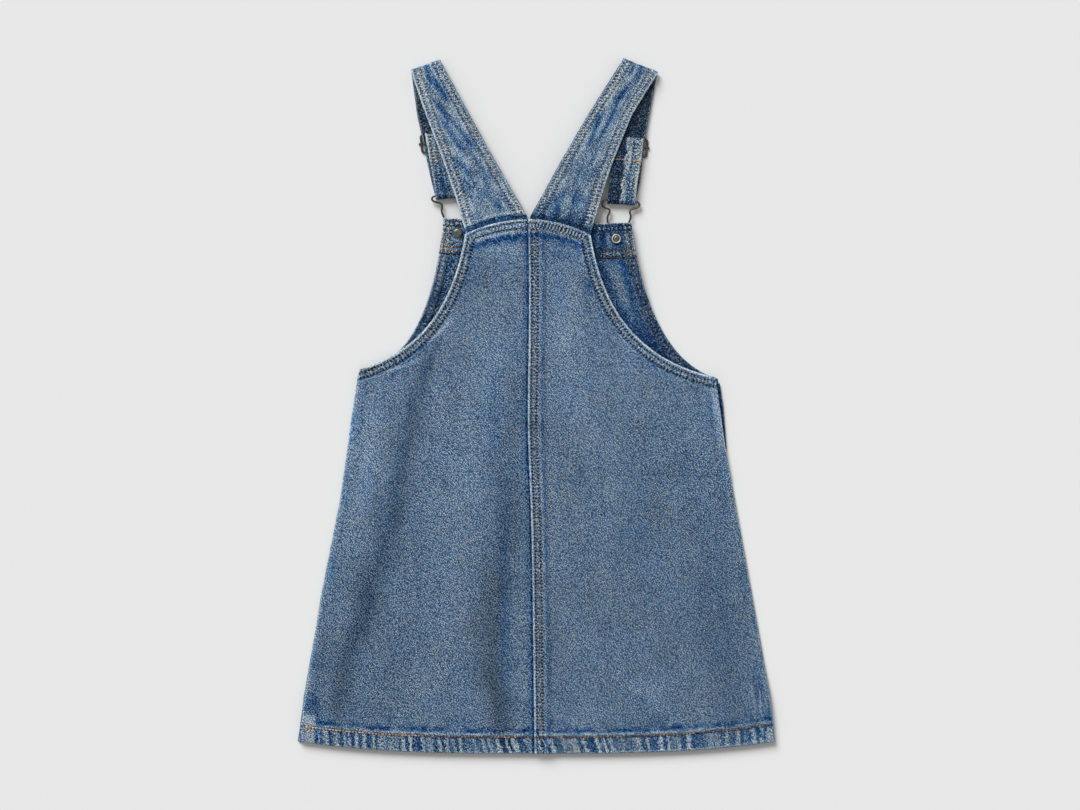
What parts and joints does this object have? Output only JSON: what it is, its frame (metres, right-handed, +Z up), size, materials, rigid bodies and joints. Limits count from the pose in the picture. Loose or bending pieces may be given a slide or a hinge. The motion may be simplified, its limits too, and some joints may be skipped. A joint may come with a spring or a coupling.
{
  "type": "overall skirt",
  "caption": "Child's denim overall skirt laid flat with its back up: bib front, shaped back with a centre seam, wide straps on wire hooks and slide adjusters.",
  "frame": {"origin": "middle of the garment's bounding box, on the table it lies on", "axes": "+Y from the hem to the shoulders, +Z up from the table to the back of the garment, +X across, to the viewer's right when looking down with the shoulders at the top"},
  "size_m": [0.4762, 0.6948, 0.0137],
  "materials": {
    "denim": "mid-blue washed denim twill, worn pale along its edges",
    "denim_inside": "inner side of the same denim, duller and in places darker",
    "thread": "tan and orange-brown topstitching thread",
    "metal": "dark antique nickel"
  },
  "bodies": {
    "root": {"front_panel": "denim", "bib_facing": "denim_inside", "armhole_turn_left": "denim_inside", "armhole_turn_right": "denim_inside", "side_placket": "denim_inside", "back_left": "denim", "back_right": "denim", "strap_left": "denim", "strap_right": "denim", "slide_left": "metal", "slide_right": "metal", "hook_left": "metal", "hook_right": "metal", "button_left": "metal", "button_right": "metal", "tack_left": "metal", "tack_right": "metal"}
  },
  "joints": []
}
